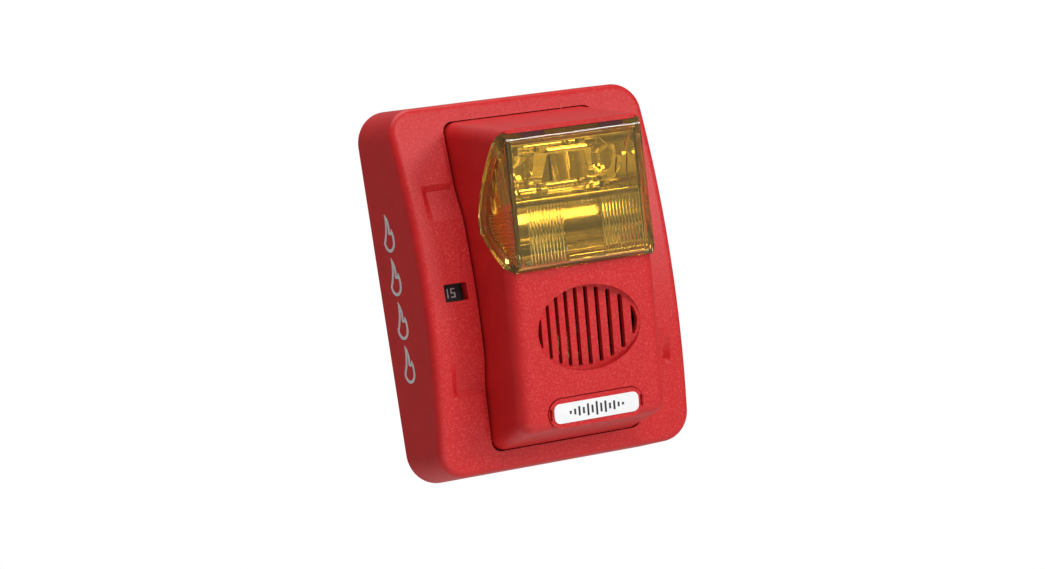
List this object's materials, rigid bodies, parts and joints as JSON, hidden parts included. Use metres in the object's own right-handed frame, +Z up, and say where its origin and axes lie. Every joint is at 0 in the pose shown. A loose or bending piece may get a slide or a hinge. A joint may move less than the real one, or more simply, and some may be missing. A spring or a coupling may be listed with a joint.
{
  "type": "horn strobe",
  "caption": "Wall-mounted fire-alarm horn strobe: red cover, sloping tower with a slotted horn grille below an amber strobe lens, numbered selector window, rear terminals.",
  "frame": {"origin": "centre of the back face, in the wall plane", "axes": "+X to the right seen from the front, +Y into the wall, +Z up"},
  "size_m": [0.1142, 0.0701, 0.146],
  "materials": {
    "cover_red": "moulded red ABS, fine spark-eroded texture on the front, smooth sides",
    "amber_lens": "clear amber polycarbonate, polished",
    "bright_plating": "bright metallised plastic",
    "tube_glass": "clear borosilicate glass",
    "plated_steel": "zinc plated steel",
    "lead_wire": "tinned copper wire",
    "label_white": "white printed film",
    "label_black": "black acetal",
    "mark_ink": "pale grey pad-printed ink",
    "black_plastic": "black moulded plastic",
    "brass_disc": "rolled brass",
    "piezo_ceramic": "silvered ceramic",
    "board_green": "green solder resist",
    "capacitor_sleeve": "shrunk PVC sleeve",
    "ferrite": "dark sintered ferrite",
    "component_black": "black moulded epoxy",
    "knob_white": "white moulded acetal",
    "terminal_grey": "grey moulded nylon"
  },
  "bodies": {
    "housing": {"cover": "cover_red", "side_marks": "mark_ink", "pod_housing": "cover_red", "strobe_lens": "amber_lens", "reflector": "bright_plating", "flash_tube": "tube_glass", "tube_caps": "plated_steel", "tube_leads": "lead_wire", "trigger_wire": "lead_wire", "nameplate_bezel": "cover_red", "nameplate_label": "label_white", "horn_chamber": "black_plastic", "sounder_disc": "brass_disc", "sounder_ceramic": "piezo_ceramic", "sounder_ring": "black_plastic", "sounder_leads": "lead_wire", "mounting_plate": "black_plastic", "rear_tray": "black_plastic", "module_screws": "plated_steel", "board_screws": "plated_steel", "circuit_board": "board_green", "flash_capacitor": "capacitor_sleeve", "boost_inductor": "ferrite", "trigger_transformer": "component_black", "filter_capacitors": "capacitor_sleeve", "power_transistor": "component_black", "controller_chips": "component_black", "diodes": "component_black", "resistors": "component_black", "selector_body": "component_black", "tone_switch": "component_black", "volume_switch": "component_black", "terminal_body": "terminal_grey"},
    "selector": {"selector_slider": "label_black", "selector_numbers": "mark_ink"},
    "tone_knob": {"tone_knob": "knob_white"},
    "volume_knob": {"volume_knob": "knob_white"},
    "screw_1": {"terminal_screw_1": "plated_steel"},
    "clamp_1": {"wire_clamp_1": "plated_steel"},
    "screw_2": {"terminal_screw_2": "plated_steel"},
    "clamp_2": {"wire_clamp_2": "plated_steel"},
    "screw_3": {"terminal_screw_3": "plated_steel"},
    "clamp_3": {"wire_clamp_3": "plated_steel"},
    "screw_4": {"terminal_screw_4": "plated_steel"},
    "clamp_4": {"wire_clamp_4": "plated_steel"}
  },
  "joints": [
    {"name": "candela_select", "type": "slide", "parent": "housing", "child": "selector", "axis": [0, 0, 1], "range_m": [0, 0.018]},
    {"name": "tone_select", "type": "slide", "parent": "housing", "child": "tone_knob", "axis": [1, 0, 0], "range_m": [0, 0.004]},
    {"name": "volume_select", "type": "slide", "parent": "housing", "child": "volume_knob", "axis": [1, 0, 0], "range_m": [0, 0.0025]},
    {"name": "terminal_1_turn", "type": "hinge", "parent": "housing", "child": "screw_1", "pos_m": [-0.012, -0.006, -0.016], "axis": [0, -1, 0], "range_deg": [0, 1080]},
    {"name": "clamp_1_rise", "type": "slide", "parent": "housing", "child": "clamp_1", "axis": [0, 1, 0], "range_m": [0, 0.0015]},
    {"name": "terminal_2_turn", "type": "hinge", "parent": "housing", "child": "screw_2", "pos_m": [-0.004, -0.006, -0.016], "axis": [0, -1, 0], "range_deg": [0, 1080]},
    {"name": "clamp_2_rise", "type": "slide", "parent": "housing", "child": "clamp_2", "axis": [0, 1, 0], "range_m": [0, 0.0015]},
    {"name": "terminal_3_turn", "type": "hinge", "parent": "housing", "child": "screw_3", "pos_m": [0.004, -0.006, -0.016], "axis": [0, -1, 0], "range_deg": [0, 1080]},
    {"name": "clamp_3_rise", "type": "slide", "parent": "housing", "child": "clamp_3", "axis": [0, 1, 0], "range_m": [0, 0.0015]},
    {"name": "terminal_4_turn", "type": "hinge", "parent": "housing", "child": "screw_4", "pos_m": [0.012, -0.006, -0.016], "axis": [0, -1, 0], "range_deg": [0, 1080]},
    {"name": "clamp_4_rise", "type": "slide", "parent": "housing", "child": "clamp_4", "axis": [0, 1, 0], "range_m": [0, 0.0015]}
  ],
  "couplings": [
    {"joint": "terminal_1_turn", "follows": "clamp_1_rise", "rad_per_m": 12566},
    {"joint": "terminal_2_turn", "follows": "clamp_2_rise", "rad_per_m": 12566},
    {"joint": "terminal_3_turn", "follows": "clamp_3_rise", "rad_per_m": 12566},
    {"joint": "terminal_4_turn", "follows": "clamp_4_rise", "rad_per_m": 12566}
  ]
}
